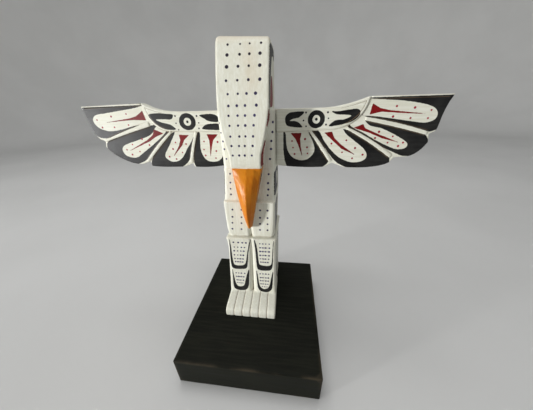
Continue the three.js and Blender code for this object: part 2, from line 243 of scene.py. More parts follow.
class Bench:
    """Lays out the nodes of one material."""

    def __init__(self, name: str) -> None:
        """Starts an empty material of that name."""
        self.material = bpy.data.materials.new(name)
        self.material.use_nodes = True
        self.tree = self.material.node_tree
        self.tree.nodes.clear()
        self.place = self.node("ShaderNodeTexCoord").outputs["Object"]

    def node(self, kind: str, inputs: dict[Union[str, int], Value] | None = None,
             **settings: object) -> bpy.types.Node:
        """Adds a node.

        Args:
            kind: the node's Blender type.
            inputs: a value or another node's socket for each input.
            **settings: the node's own properties.

        Returns:
            The new node.
        """
        made = self.tree.nodes.new(kind)
        for key, value in settings.items():
            setattr(made, key, value)
        for key, value in (inputs or {}).items():
            if isinstance(value, bpy.types.NodeSocket):
                self.tree.links.new(value, made.inputs[key])
            else:
                made.inputs[key].default_value = value
        return made

    def sum(self, operation: str, first: Value, second: Value = 0.0, third: Value = 0.0,
            clamp: bool = False) -> bpy.types.NodeSocket:
        """The result of one Math node.

        Args:
            operation: what it works out.
            first: its first value.
            second: its second value.
            third: its third value, for the operations that use one.
            clamp: whether the result stays from 0 to 1.

        Returns:
            The result's socket.
        """
        return self.node("ShaderNodeMath", {0: first, 1: second, 2: third},
                         operation=operation, use_clamp=clamp).outputs[0]

    def step(self, value: Value, start: float, end: float, low: float = 0.0,
             high: float = 1.0) -> bpy.types.NodeSocket:
        """A smooth change from low to high as value goes from start to end.

        Args:
            value: what is read.
            start: where the change starts.
            end: where it ends, above or below the start.
            low: the result before the change.
            high: the result after it.

        Returns:
            The result's socket.
        """
        return self.node("ShaderNodeMapRange",
                         {"Value": value, "From Min": start, "From Max": end, "To Min": low, "To Max": high},
                         interpolation_type="SMOOTHSTEP").outputs["Result"]

    def blend(self, share: Value, first: Value, second: Value) -> bpy.types.NodeSocket:
        """A mix of two colours.

        Args:
            share: how much of the second there is, from 0 to 1.
            first: the first colour.
            second: the second colour.

        Returns:
            The mix's socket.
        """
        colours = [(*c, 1.0) if isinstance(c, tuple) else c for c in (first, second)]
        return self.node("ShaderNodeMix", {0: share, 6: colours[0], 7: colours[1]},
                         data_type="RGBA").outputs[2]

    def grain(self, scale: Union[float, Triple], detail: float = 3.0, rough: float = 0.5,
              shift: float = 0.0) -> bpy.types.NodeSocket:
        """Noise over the piece.

        Args:
            scale: cycles per metre, one for all ways or one each along X, Y and Z.
            detail: finer layers of noise.
            rough: how strong those are.
            shift: moves the pattern, so that two noises differ.

        Returns:
            The noise, from 0 to 1.
        """
        spread = scale if isinstance(scale, tuple) else (scale, scale, scale)
        turned = self.node("ShaderNodeMapping", {"Vector": self.place, "Location": (shift, shift, shift),
                                                 "Scale": spread}).outputs[0]
        return self.node("ShaderNodeTexNoise", {"Vector": turned, "Scale": 1.0, "Detail": detail,
                                                "Roughness": rough}).outputs["Fac"]

    def field(self, name: str, output: str = "Fac") -> bpy.types.NodeSocket:
        """A value that the piece's mesh carries."""
        found = self.node("ShaderNodeAttribute", attribute_type="GEOMETRY", attribute_name=name)
        return found.outputs[output]

    def finish(self, colour: Value, roughness: Value, height: Value, depth: float,
               specular: float) -> bpy.types.Material:
        """Ends the material with its shader.

        Args:
            colour: the base colour.
            roughness: the roughness.
            height: the relief, from 0 to 1.
            depth: the relief's height in metres.
            specular: the shader's own specular level.

        Returns:
            The finished material.
        """
        bump = self.node("ShaderNodeBump", {"Strength": 1.0, "Distance": depth, "Height": height})
        shader = self.node("ShaderNodeBsdfPrincipled", {"Base Color": colour, "Roughness": roughness,
                                                        "Normal": bump.outputs[0]})
        shader.inputs["Specular IOR Level"].default_value = specular
        shader.inputs["IOR"].default_value = GLOSS_IOR
        self.node("ShaderNodeOutputMaterial", {"Surface": shader.outputs[0]})
        return self.material


@dataclass(frozen=True)
class PaintedWood:
    """Brushed paint in several colours over carved wood, with dirt and painted shade darkening its hollows.
    """

    name: str
    brush: Brush
    dot_tones: tuple[Paint, Paint] = (NIGHT, VIOLET)
    bill: bool = False
    face_tan_and_crown_shade: bool = False
    edge: float = 0.16
    seam_cover: float = 0.72
    dirt_and_shade_cover: float = 0.85
    rubbed_cover: float = 0.30
    relief: float = 0.00022
    specular: float = 0.24

    def material(self) -> bpy.types.Material:
        """Builds the material from what the mesh carries about its painting.

        Returns:
            The finished material.
        """
        b = Bench(self.name)
        streak = b.grain(self.brush.value, detail=4.0, rough=0.6)
        cloud = b.grain(34.0, detail=3.0, shift=3.0)
        speck = b.grain(900.0, detail=2.0, shift=7.0)
        wobble = b.sum("MULTIPLY_ADD", b.grain(260.0, detail=2.0, shift=11.0), 0.9, -0.45)
        hollow = b.field("hollow")

        ground = b.blend(b.step(streak, 0.36, 0.66), CREAM.thin, CREAM.thick)
        ground = b.blend(b.step(cloud, 0.42, 0.75, 0.0, 0.35), ground, CREAM.thin)
        # On the post: a tan patch on the face and painted shade at the crown.
        if self.face_tan_and_crown_shade:
            ground = b.blend(self.tan_patch_and_crown_shade(b), ground, TAN_AND_CROWN_SHADE)
        colour: Value = ground
        rough: Value = b.step(streak, 0.3, 0.7, CREAM.roughness - 0.07, CREAM.roughness + 0.08)
        edges: Value = 0.0
        worn = b.step(b.sum("MULTIPLY_ADD", cloud, 0.6, b.sum("MULTIPLY", streak, 0.4)), 0.40, 0.62)
        layers = [("bill", ORANGE)] if self.bill else []
        for name, paint in [*layers, ("ink", BLACK), ("red", RED)]:
            mask = b.step(b.sum("ADD", b.field(name), wobble), self.edge, -self.edge)
            coat = b.blend(worn, paint.thick, paint.thin)
            colour = b.blend(mask, colour, coat)
            rough = b.sum("MULTIPLY_ADD", mask, b.sum("SUBTRACT", paint.roughness, rough), rough)
            edges = b.sum("MAXIMUM", edges, mask)
        offset = b.node("ShaderNodeVectorMath", {0: b.field("dot_offset", "Vector")}, operation="LENGTH")
        round_edge = b.sum("MULTIPLY_ADD", wobble, 0.30, offset.outputs["Value"])
        spot = b.sum("MULTIPLY", b.step(round_edge, 1.10, 0.88), b.step(b.field("dot_near"), 1.65, 1.40))
        first, second = self.dot_tones
        tint = b.blend(b.field("dot_tone"), first.thick, second.thick)
        faded = b.blend(b.field("dot_tone"), first.thin, second.thin)
        colour = b.blend(spot, colour, b.blend(b.step(cloud, 0.4, 0.65), tint, faded))

        seam = b.sum("MULTIPLY_ADD", wobble, 0.6, b.field("seam"))
        colour = b.blend(b.step(seam, 0.30, -0.25, 0.0, self.seam_cover), colour, SEAM_TAN)
        patchy = b.step(cloud, 0.25, 0.6, 0.45, 1.0)
        # Dirt and painted shade: hollows, creases and grooves darkened towards brown.
        dirt_and_shade = b.sum("MULTIPLY", b.step(hollow, 0.10, 0.75), patchy, clamp=True)
        colour = b.blend(b.sum("MULTIPLY", dirt_and_shade, self.dirt_and_shade_cover), colour, GRIME_AND_SHADE)
        rubbed = b.sum("MULTIPLY", b.step(hollow, -0.55, -1.0), b.step(speck, 0.52, 0.66), clamp=True)
        colour = b.blend(b.sum("MULTIPLY", rubbed, self.rubbed_cover), colour, BARE_WOOD)
        height = b.sum("MULTIPLY_ADD", streak, 0.55, b.sum("MULTIPLY", edges, 0.35))
        height = b.sum("MULTIPLY_ADD", speck, 0.10, height)
        return b.finish(colour, rough, height, self.relief, self.specular)

    def tan_patch_and_crown_shade(self, b: Bench) -> bpy.types.NodeSocket:
        """A faint tan patch down the upper face, and painted shade where the crown rolls back.

        Args:
            b: the material's bench.

        Returns:
            How strong the tan patch and the painted shade are.
        """
        place = b.node("ShaderNodeSeparateXYZ", {0: b.place})
        centre = b.node("ShaderNodeMapping", {"Vector": b.place, "Location": (-0.45, 0.0, -7.6),
                                              "Scale": (48.0, 0.0, 18.6)}).outputs[0]
        reach = b.node("ShaderNodeVectorMath", {0: centre}, operation="LENGTH").outputs["Value"]
        soft = b.sum("MULTIPLY_ADD", b.grain((60.0, 60.0, 22.0), shift=5.0), 1.1, reach)
        patch = b.step(soft, 1.5, 0.55, 0.0, 0.34)
        # Painted shade: a darker band where the crown rolls back.
        crown = b.step(place.outputs[2], 0.4335, 0.4425, 0.0, 0.40)
        return b.sum("MAXIMUM", patch, crown)


@dataclass(frozen=True)
class BoardPaint:
    """Matt black paint on the board, a little dusty and rubbed at its edges."""

    name: str = "board_black"
    relief: float = 0.00020
    specular: float = 0.10

    def material(self) -> bpy.types.Material:
        """Builds the material.

        Returns:
            The finished material.
        """
        b = Bench(self.name)
        streak = b.grain((18.0, 300.0, 300.0), detail=4.0, rough=0.62)
        cloud = b.grain(16.0, detail=4.0, shift=2.0)
        speck = b.grain(1300.0, detail=1.0, shift=9.0)
        coat = b.blend(b.step(streak, 0.36, 0.68), BOARD_BLACK.thick, BOARD_BLACK.thin)
        coat = b.blend(b.step(cloud, 0.48, 0.78, 0.0, 0.4), coat, BOARD_BLACK.thin)
        coat = b.blend(b.sum("MULTIPLY", b.step(speck, 0.70, 0.78), 0.10), coat, DUST)
        rub = b.sum("MULTIPLY", b.step(b.field("hollow"), -0.30, -0.9), b.step(cloud, 0.45, 0.62))
        coat = b.blend(b.sum("MULTIPLY", rub, 0.35), coat, RUBBED_BOARD)
        rough = b.step(streak, 0.3, 0.7, BOARD_BLACK.roughness - 0.06, BOARD_BLACK.roughness + 0.08)
        height = b.sum("MULTIPLY_ADD", speck, 0.25, b.sum("MULTIPLY", streak, 0.6))
        return b.finish(coat, rough, height, self.relief, self.specular)


# Carved pieces.


@dataclass
class Dots:
    """A set of brushed dots: where they are, their radius in millimetres, and their tone from 0 to 1."""

    places: np.ndarray
    radii: np.ndarray
    tones: np.ndarray


@dataclass
class CarvedPiece:
    """A piece cut from wood: the solid's form with the softness that a knife and sanding leave."""

    name: str
    node: str
    slot: Slot
    fineness: float
    softening: int = 2
    waviness: float = 0.22
    long_wave: float = 34.0
    short_wave: float = 110.0
    short_share: float = 0.35
    settle: int = 14
    hollow_depth: float = 0.45
    most_faces: int = 190_000

    def build(self) -> bpy.types.Object:
        """Makes the piece.

        Returns:
            The object, riding on the body in place of its solid.
        """
        rough = bpy.data.meshes.new(self.name)
        bm = bmesh.new()
        bm.from_mesh(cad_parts[self.node].data)
        bmesh.ops.remove_doubles(bm, verts=bm.verts, dist=2e-6)
        bm.to_mesh(rough)
        bm.free()
        piece = bpy.data.objects.new(self.name, rough)
        bpy.context.scene.collection.objects.link(piece)
        self.work_surface(piece)
        self.paint(piece.data)
        self.thin_out(piece)
        piece.data.materials.clear()
        piece.data.materials.append(self.finish())
        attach(piece, ROOT)
        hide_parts(self.node)
        LOG.info("%s: %d faces", self.name, len(piece.data.polygons))
        return piece

    def work_surface(self, piece: bpy.types.Object) -> None:
        """Gives the piece an even fine skin, eases its edges and leaves faint tool waves.

        Args:
            piece: the object whose mesh is worked.
        """
        skin = piece.modifiers.new("skin", "REMESH")
        skin.mode = "VOXEL"
        skin.voxel_size = self.fineness * MM
        skin.use_smooth_shade = True
        worked = self.shaped(piece)
        bm = bmesh.new()
        bm.from_mesh(worked)
        for _ in range(self.softening):
            bmesh.ops.smooth_vert(bm, verts=bm.verts, factor=0.5, use_axis_x=True, use_axis_y=True,
                                  use_axis_z=True)
        bm.normal_update()
        bm.to_mesh(worked)
        cut = self.relief(self.places(worked))
        for vert, depth in zip(bm.verts, cut):
            wave = noise.noise(vert.co * self.long_wave)
            wave += self.short_share * noise.noise(vert.co * self.short_wave)
            vert.co -= vert.normal * ((abs(wave) * self.waviness + depth) * MM)
        bm.normal_update()
        bm.to_mesh(worked)
        bm.free()
        piece.data = worked
        self.add_field(worked, "hollow", self.hollows(worked))

    def shaped(self, piece: bpy.types.Object) -> bpy.types.Mesh:
        """The mesh that the piece's modifiers make, smooth shaded; the modifiers go.

        Args:
            piece: the object with its modifiers.

        Returns:
            The new mesh, not yet on the piece.
        """
        made = bpy.data.meshes.new_from_object(piece.evaluated_get(bpy.context.evaluated_depsgraph_get()))
        piece.modifiers.clear()
        made.name = self.name
        made.polygons.foreach_set("use_smooth", [True] * len(made.polygons))
        return made

    def relief(self, at: np.ndarray) -> np.ndarray:
        """How deep the finest carving goes at each point; none on a plain piece."""
        return np.zeros(len(at))

    def thin_out(self, piece: bpy.types.Object) -> None:
        """Uses larger faces where nothing fine is carved or painted.

        Args:
            piece: the painted object.
        """
        count = sum(len(face.vertices) - 2 for face in piece.data.polygons)
        if count <= self.most_faces:
            return
        plain = piece.vertex_groups.new(name="plain")
        plain.add(self.plain_points(piece.data).tolist(), 1.0, "REPLACE")
        thin = piece.modifiers.new("thin", "DECIMATE")
        thin.ratio = self.most_faces / count
        thin.vertex_group = plain.name
        thinned = self.shaped(piece)
        piece.vertex_groups.clear()
        rows = KDTree(len(piece.data.vertices))
        for vert in piece.data.vertices:
            rows.insert(vert.co, vert.index)
        rows.balance()
        nearest = [rows.find(vert.co)[1] for vert in thinned.vertices]
        hollow = numbers(piece.data.attributes["hollow"].data, "value")
        piece.data = thinned
        self.add_field(thinned, "hollow", hollow[nearest])
        self.paint(thinned)

    def plain_points(self, mesh: bpy.types.Mesh) -> np.ndarray:
        """The vertices that may be thinned out."""
        return np.arange(0)

    def hollows(self, mesh: bpy.types.Mesh) -> np.ndarray:
        """How far each point lies under the surface's smoothed form.

        Args:
            mesh: the worked mesh.

        Returns:
            One value per vertex: above 0 in grooves, below 0 on edges.
        """
        places, normals = self.places(mesh), self.normals(mesh)
        ends = np.empty(len(mesh.edges) * 2, np.int64)
        mesh.edges.foreach_get("vertices", ends)
        first, second = ends[0::2], ends[1::2]
        count = np.bincount(ends, minlength=len(places)).astype(float)[:, None]
        even = places.copy()
        for _ in range(self.settle):
            total = np.stack([np.bincount(first, even[second, k], len(places))
                              + np.bincount(second, even[first, k], len(places)) for k in range(3)], 1)
            even = 0.5 * even + 0.5 * total / count
        return np.clip(((even - places) * normals).sum(1) / self.hollow_depth, -1.5, 1.5)

    @staticmethod
    def places(mesh: bpy.types.Mesh) -> np.ndarray:
        """The vertices in the figure's own millimetres."""
        return numbers(mesh.vertices, "co", 3).astype(float) / MM - FIGURE_ORIGIN

    @staticmethod
    def normals(mesh: bpy.types.Mesh) -> np.ndarray:
        """The vertices' normals."""
        return numbers(mesh.vertex_normals, "vector", 3).astype(float)

    @staticmethod
    def add_field(mesh: bpy.types.Mesh, name: str, values: np.ndarray) -> None:
        """Stores one value, or one vector, per vertex on the mesh.

        Args:
            mesh: the mesh.
            name: the field's name, whose older values go.
            values: one number or one row of three per vertex.
        """
        if name in mesh.attributes:
            mesh.attributes.remove(mesh.attributes[name])
        kind, key = ("FLOAT_VECTOR", "vector") if values.ndim == 2 else ("FLOAT", "value")
        made = mesh.attributes.new(name, kind, "POINT")
        made.data.foreach_set(key, values.astype(np.float32).ravel())

    def add_dots(self, mesh: bpy.types.Mesh, dots: Dots) -> None:
        """Stores how each vertex lies from its nearest dot.

        Args:
            mesh: the worked mesh.
            dots: the dots, on the surface.
        """
        places = self.places(mesh)
        nearest = np.zeros(len(places), int)
        best = np.full(len(places), 1e9)
        for i, centre in enumerate(dots.places):
            away = ((places - centre) ** 2).sum(1)
            closer = away < best
            best[closer], nearest[closer] = away[closer], i
        offset = (places - dots.places[nearest]) / dots.radii[nearest][:, None]
        self.add_field(mesh, "dot_offset", offset)
        self.add_field(mesh, "dot_near", np.sqrt(best) / dots.radii[nearest])
        self.add_field(mesh, "dot_tone", dots.tones[nearest].astype(float))

    def paint(self, mesh: bpy.types.Mesh) -> None:
        """Lays out the painting on the worked mesh."""

    def finish(self) -> bpy.types.Material:
        """The piece's material."""
        raise NotImplementedError


@dataclass(frozen=True)
class WingDrawing:
    """One wing's carved and painted lines, in millimetres out from its root and up from its shoulder.

    The feathers run from the wing's tip to its root.
    """

    side: int
    covert: tuple[Loop, ...]
    ribs: tuple[tuple[Loop, Triple], ...]
    horns: tuple[Loop, ...]
    rim: Loop
    fields: tuple[Loop, ...]
    splits: tuple[Loop, ...]
    forks: tuple[Loop, ...]
    eye: Pair
    eye_half: Pair
    feather_dots: Loop
    covert_dots: Loop
    pupil_half: Pair = (5.6, 5.4)
    bare_root: Loop = ()


LEFT = WingDrawing(
    side=-1,
    covert=(
        ((0, 0), (60.5, 0)), ((60.5, 0), (95, 0), (116, 11.8)),
        ((116, 11.8), (114.5, -4), (105.8, -24.9), (82.1, -26.1)), ((82.1, -26.1), (0, -27.7)),
    ),
    ribs=(
        (((112.8, -16.1), (151.2, -25.7), (193.3, -39.4)), (1.3, 1.05, 0.6)),
        (((81, -27.7), (108, -48.2), (130.7, -71.6)), (0.65, 1, 0.85)),
        (((41.5, -28.5), (51.8, -52.3), (57, -73.2)), (0.75, 0.95, 1)),
    ),
    horns=(
        ((181.5, -34), (191, -35.8), (200, -35), (205.5, -32.4), (208.6, -29), (209.8, -25.5), (214, -27),
         (211, -35), (204, -41), (201, -43), (201, -48), (199.5, -54), (196.3, -54), (195.6, -50.5),
         (194.8, -47), (193.4, -43.4), (190.5, -41), (186, -38.4)),
        ((120.5, -60.4), (128, -66.8), (136.9, -71.8), (144, -74.4), (150, -76.3), (150, -80), (138, -80),
         (127.6, -75), (125.8, -74.6), (124.2, -71), (122.2, -67.5), (119.4, -63.5)),
        ((53.6, -59), (54.7, -61.5), (58.8, -68), (64.1, -74), (70, -78.3), (73, -80), (73, -84), (60, -83),
         (57, -80), (55.5, -84), (50.4, -84), (50.4, -80.6), (52, -77.9), (52.8, -73.3), (52.4, -67),
         (51.6, -62)),
    ),
    rim=((116.4, 10.6), (166, 10), (216.2, 9.6)),
    fields=(
        ((111.4, 9.5), (119.7, 7.8), (136.5, 4.9), (156.5, 2.7), (180.6, -0.1), (194.8, -1.8), (202.2, -7.2),
         (201.9, -14.3), (194.8, -21.6), (179, -25.1), (159.5, -22.9), (137.9, -18.2), (107.1, -12.9)),
        ((100.8, -18.8), (111.9, -29.3), (127, -35.7), (153.1, -42.9), (165.1, -47.4), (169.6, -53.6),
         (166.7, -61.6), (157.3, -65.3), (146.6, -64.8), (131.7, -56.1), (113, -44.7), (88.3, -26)),
        ((70.3, -23.5), (77, -31.8), (86.6, -44.9), (98, -60.1), (97.9, -66.4), (89.9, -71.9), (79.6, -71.1),
         (69.8, -64.8), (60.7, -52.5), (52.2, -42.2), (40.6, -22.5)),
        ((35.2, -22.6), (35.9, -30.9), (37.6, -42.3), (38.4, -54.1), (35.4, -64.8), (28.3, -71),
         (17.1, -71.7), (8.6, -67.8), (4.5, -60.2), (2.2, -48.4), (-0.1, -23.2)),
    ),
    splits=(
        ((118.5, 1.8), (130.3, -5.2), (140.9, -7.7), (180.8, -12.5), (155, -10.6), (135, -9.6), (116, -10.6)),
        ((107, -23.6), (110.9, -31.4), (123.2, -39.4), (156.2, -54.5), (118.4, -40.2), (106.6, -33.7),
         (94.1, -29.5)),
        ((69.1, -31.9), (68.3, -39.1), (72.7, -48), (83.8, -62.4), (67.6, -47.2), (62.7, -39.2),
         (54.1, -32.4)),
        ((25.6, -31.7), (23.1, -39.6), (23.2, -48.2), (24.4, -63.5), (20.4, -48.3), (17.3, -39.6),
         (9.3, -31.9)),
    ),
    forks=(
        ((108.3, -3), (96.2, -1.5), (79.6, -2.7), (71.5, -3.8), (72.4, -7.7), (76.1, -10.3), (86.1, -9.8),
         (98.7, -10.2), (90.3, -14), (78.6, -17), (73.2, -20.5), (70.8, -23.6), (77.3, -24.6), (89.5, -22.7),
         (99.1, -17.3), (105.8, -10.4), (108.5, -6.3)),
        ((32.2, -5.9), (24.5, -4.4), (12.9, -4.4), (6, -6.9), (3.8, -12.3), (7, -14.9), (18.7, -13.6),
         (25.5, -10)),
        ((30.7, -23.2), (25.4, -18.6), (17.7, -17.1), (4.5, -17.6), (3.7, -24.9), (16, -25.4), (26.4, -24.6)),
    ),
    eye=(51.2, -13.8),
    eye_half=(12.6, 11.4),
    feather_dots=(
        (196.1, -8.7), (170.8, -4.4), (145.2, -1.5), (191.3, -19.5), (170.9, -19.5), (146.4, -16.7),
        (130.8, -37.1), (149.6, -45.2), (121, -46.2), (161.9, -53.2), (140.3, -56.1), (154.9, -60.8),
        (77.2, -42.7), (60.7, -45.1), (83.5, -52.4), (69.1, -57.8), (92, -64.3), (81.1, -67.9),
        (31.6, -41.6), (10.7, -42.5), (33.5, -53.4), (14.4, -55.7), (32.3, -62.4), (16.4, -66.3),
    ),
    covert_dots=((68.2, -5.8), (68.9, -15.5), (66.8, -24.4), (36, -6.5), (34.3, -15.5), (35.2, -23)),
)

RIGHT = WingDrawing(
    side=1,
    covert=(
        ((0, 0), (64.8, 0)), ((64.8, 0), (90.7, 0.8), (118.8, 11.4)),
        ((118.8, 11.4), (117.7, -4), (108, -22.5), (77.8, -26.9)), ((77.8, -26.9), (0, -28.9)),
    ),
    ribs=(
        (((117.7, -14.5), (159.8, -22.5), (196.6, -33.4)), (0.9, 1.1, 0.95)),
        (((96.1, -26.1), (129.6, -41.8), (158.8, -63.5)), (0.6, 1, 1)),
        (((46.4, -28.1), (64.8, -49.8), (78.2, -70.8)), (0.7, 1, 0.85)),
    ),
    horns=(
        ((187, -29), (193.5, -30.6), (198.9, -31.9), (202, -31.4), (205.5, -29.8), (209.5, -29), (211, -33),
         (205, -37), (206, -46), (201.6, -46.5), (201.2, -43.5), (200.5, -41.4), (199.2, -39.4),
         (197.8, -37.4), (194.8, -35.2), (188.2, -33.1)),
        ((139.4, -48.2), (151.3, -53.8), (162, -58.3), (169.3, -61.6), (175.1, -63.2), (182, -63.4),
         (182, -67), (168, -68), (164, -74), (159.6, -74), (158.7, -68.7), (157.7, -64.1), (153.9, -60.6),
         (147.8, -57.7), (140.6, -54.3)),
        ((62.6, -53.2), (69, -60.3), (74.4, -66.5), (75.8, -71.3), (73, -75.6), (68.5, -79), (68.5, -84),
         (78, -82), (84, -80), (100, -84), (104, -80.5), (99.5, -78.6), (94.9, -76.6), (88.6, -73.4),
         (83.3, -69), (78, -63), (72.8, -57.1), (70, -52.4)),
    ),
    rim=((118.6, 10.8), (167.4, 11.2), (216.2, 11)),
    fields=(
        ((113.8, 8.8), (122, 8.5), (138.5, 7.2), (156.4, 5.6), (175.9, 2.7), (189.6, -0.4), (198.8, -4.8),
         (202.7, -10.5), (201.1, -17.1), (191.4, -20.6), (174.8, -18.8), (153.1, -15.4), (134.3, -12.6),
         (122, -11.2), (112.6, -9)),
        ((107, -11.1), (116, -16.2), (125.2, -23.4), (138.2, -26.4), (153.5, -32.9), (167.6, -40.2),
         (175.1, -45.1), (176.8, -49.2), (174, -53), (163, -53.6), (149, -48.2), (133, -40.7), (118.6, -32.5),
         (99, -22.1)),
        ((56, -23.9), (61.1, -31.7), (67, -41.7), (76.9, -53.8), (90.2, -65.2), (104.9, -71.5), (117, -71.8),
         (125.6, -67.9), (126.9, -60.9), (120.5, -52.2), (107.2, -42.1), (96.1, -33.9), (82, -20.5)),
        ((13.8, -24.5), (13.9, -33.7), (14.7, -44.7), (17, -55.3), (23.5, -64.4), (33.7, -69), (44.5, -68),
         (52.1, -61.7), (54.7, -53.7), (51.8, -43.4), (45.8, -32.3), (41.2, -23.7)),
    ),
    splits=(
        ((123.4, 2.8), (133.2, -2.5), (145.8, -5.4), (188.2, -10.2), (156.8, -8.3), (135.4, -6.4),
         (122, -9.5)),
        ((115.6, -21.5), (119.3, -26.9), (134.7, -33.4), (164.1, -44.7), (144, -39.6), (126.7, -32.6),
         (105, -25.7)),
        ((76.7, -30.4), (80.2, -38.5), (89.7, -47), (110.1, -60.9), (92, -52.9), (75.2, -38.5),
         (66.9, -31.5)),
        ((35.2, -31.4), (33.8, -39.8), (35.2, -50.1), (37.6, -62.5), (32.9, -50.1), (28.1, -39.8),
         (20.9, -31.6)),
    ),
    forks=(
        ((73.5, -4.6), (82.2, -4.8), (94.5, -3.2), (103.6, -2.4), (108.6, -4.7), (109, -9.2), (105.5, -14.2),
         (98.3, -18.2), (87.5, -21.1), (71.5, -23.2), (75, -18.3), (80.4, -15.3), (89.8, -14.8),
         (98.7, -10.7), (89.1, -9), (81.2, -8.8), (76.2, -6.9)),
        ((37.1, -4.2), (26, -4.3), (17.7, -5.6), (13.1, -10.2), (12.9, -16.4), (15.4, -21.2), (23.3, -23.2),
         (35.6, -23.9), (34.1, -20.3), (29.8, -16.8), (25.5, -15.6), (18.4, -15.3), (24.6, -12.6),
         (31.2, -11.3), (36, -7.6)),
    ),
    eye=(54.1, -14.1),
    eye_half=(11.2, 11.2),
    feather_dots=(
        (152.6, -0.7), (174.3, -2.9), (194.2, -6.2), (150.7, -12.8), (172.2, -15), (192.9, -15.4),
        (137.4, -31.1), (156, -37.2), (170.8, -45.2), (133.9, -39.1), (151.2, -45.2), (165.6, -49.8),
        (97, -41.7), (77.6, -45.9), (110.1, -52.2), (93.4, -58), (121.7, -61.4), (108.3, -66.5),
        (22.7, -42), (40.8, -39.5), (24.4, -51.1), (44.2, -50.9), (26.9, -60.3), (45.4, -59.4),
    ),
    covert_dots=((40.1, -5.5), (37.3, -15.2), (41.1, -22.6), (68.4, -5.8), (69.8, -13.2), (67.4, -20.9)),
    pupil_half=(5, 5.3),
    bare_root=((-6, 4), (10, 4), (10, -4.2), (10.5, -54.5), (12.4, -69.1), (16.3, -79.7), (16.6, -90),
               (-6, -90)),
)


@dataclass
class Wing(CarvedPiece):
    """A wing: a plank carved with a raised shoulder field, ribs and a rim, and painted on both sides."""

    drawing: WingDrawing = LEFT
    rib_width: float = 4.6
    rib_lead: float = 5.0
    rib_foot: Pair = (3.0, 1.9)
    rim_half: float = 0.95
    face: float = 83.0
    raised: float = 2.0
    covert_edge: float = 1.0
    bead: float = 3.2
    bead_from: float = 84.0
    bead_fade: float = 8.0
    groove_depth: float = 0.45
    groove_half: float = 0.55
    seam_half: float = 0.2
    eye_dot: float = 1.9
    split_edge: float = 0.3
    dot_half: Pair = (1.35, 1.15)
    dot_change: float = 0.14
    front_facing: float = 0.35

    def flat(self, places: np.ndarray) -> np.ndarray:
        """Points seen from the front, out from the wing's root and up from the shoulder."""
        return np.stack([self.drawing.side * places[:, 0] - CHEST_HALF, places[:, 2] - SHOULDER], 1)

    def paint(self, mesh: bpy.types.Mesh) -> None:
        """Lays out black, red and dots as signed distances.

        Args:
            mesh: the worked mesh.
        """
        at = self.flat(self.places(mesh))
        plan = self.drawing
        front = self.normals(mesh)[:, 1] < self.front_facing
        bare = np.minimum(self.covert(at) - self.covert_edge, self.rims(at))
        if plan.bare_root:
            bare = np.minimum(bare, loop_distance(at, np.array(plan.bare_root, float)))
        ink = -bare
        motif = np.full(len(at), FAR)
        for loop in plan.fields:
            ink = np.maximum(ink, np.where(front, -loop_distance(at, smooth_loop(loop)), -FAR))
        for loop in plan.forks:
            motif = np.minimum(motif, loop_distance(at, smooth_loop(loop)))
        ring = np.maximum(oval_distance(at, plan.eye, *plan.eye_half),
                          -oval_distance(at, plan.eye, *plan.pupil_half))
        motif = np.minimum(motif, np.minimum(ring, oval_distance(at, plan.eye, self.eye_dot, self.eye_dot)))
        ink = np.minimum(ink, np.where(front, motif, FAR))
        red = np.full(len(at), FAR)
        for loop in plan.splits:
            red = np.minimum(red, loop_distance(at, np.array(loop, float)) - self.split_edge)
        self.add_field(mesh, "ink", ink)
        seam = np.abs(self.covert(at) + self.bead) - self.seam_half
        self.add_field(mesh, "seam", np.where(front & (at[:, 0] > self.bead_from), seam, FAR))
        self.add_field(mesh, "red", np.where(front, red, FAR))
        self.add_dots(mesh, self.dots())

    def covert(self, at: np.ndarray) -> np.ndarray:
        """Signed distance to the raised field at the wing's shoulder."""
        return loop_distance(at, np.concatenate([bezier(part)[:-1] for part in self.drawing.covert]))

    def relief(self, at: np.ndarray) -> np.ndarray:
        """A fine groove that leaves a bead along the raised field's curved edge.

        Args:
            at: the points, in the figure's millimetres.

        Returns:
            The groove's depth at each.
        """
        flat = self.flat(at)
        fade = np.clip((flat[:, 0] - self.bead_from) / self.bead_fade, 0, 1) * (at[:, 1] < self.face + 1)
        return self.groove_depth * fade * np.exp(-((self.covert(flat) + self.bead) / self.groove_half) ** 2)

    def rims(self, at: np.ndarray) -> np.ndarray:
        """Signed distance to the ribs, their forked ends and the top rim, which stay cream.

        Args:
            at: the points, out and up.

        Returns:
            One distance per point.
        """
        best = np.full(len(at), FAR)
        for rib, (root, middle, end) in self.drawing.ribs:
            line = bezier(rib, 12)
            t = np.linspace(0, 1, len(line))
            swell = root * (1 - t) * (1 - 2 * t) + 4 * middle * t * (1 - t) + end * t * (2 * t - 1)
            best = np.minimum(best, stroke_distance(at, line, self.rib_width / 2 * swell))
            lead = line[0] - self.rib_lead * (line[1] - line[0]) / np.linalg.norm(line[1] - line[0])
            best = np.minimum(best, stroke_distance(at, np.stack([lead, line[0]]), np.array(self.rib_foot)))
        for horn in self.drawing.horns:
            best = np.minimum(best, loop_distance(at, np.array(horn, float)))
        line = bezier(self.drawing.rim, 8)
        return np.minimum(best, stroke_distance(at, line, np.full(len(line), self.rim_half)))

    def dots(self) -> Dots:
        """Lays out crimson dots on the feathers and dark ones on the raised field.

        Returns:
            The dots, whose sizes differ a little.
        """
        plan = self.drawing
        flat = np.array(plan.feather_dots + plan.covert_dots, float)
        crimson = np.arange(len(flat)) < len(plan.feather_dots)
        depth = np.where(crimson, self.face, self.face - self.raised)
        places = np.stack([plan.side * (flat[:, 0] + CHEST_HALF), depth, flat[:, 1] + SHOULDER], 1)
        change = self.dot_change * np.sin(np.arange(len(flat)) * 2.4)
        radii = np.where(crimson, *self.dot_half) * (1 + change)
        return Dots(places, radii, crimson)

    def finish(self) -> bpy.types.Material:
        """Brushed paint, laid on along the wing."""
        return PaintedWood(self.name + "_paint", Brush.ACROSS, dot_tones=(NIGHT, CRIMSON)).material()


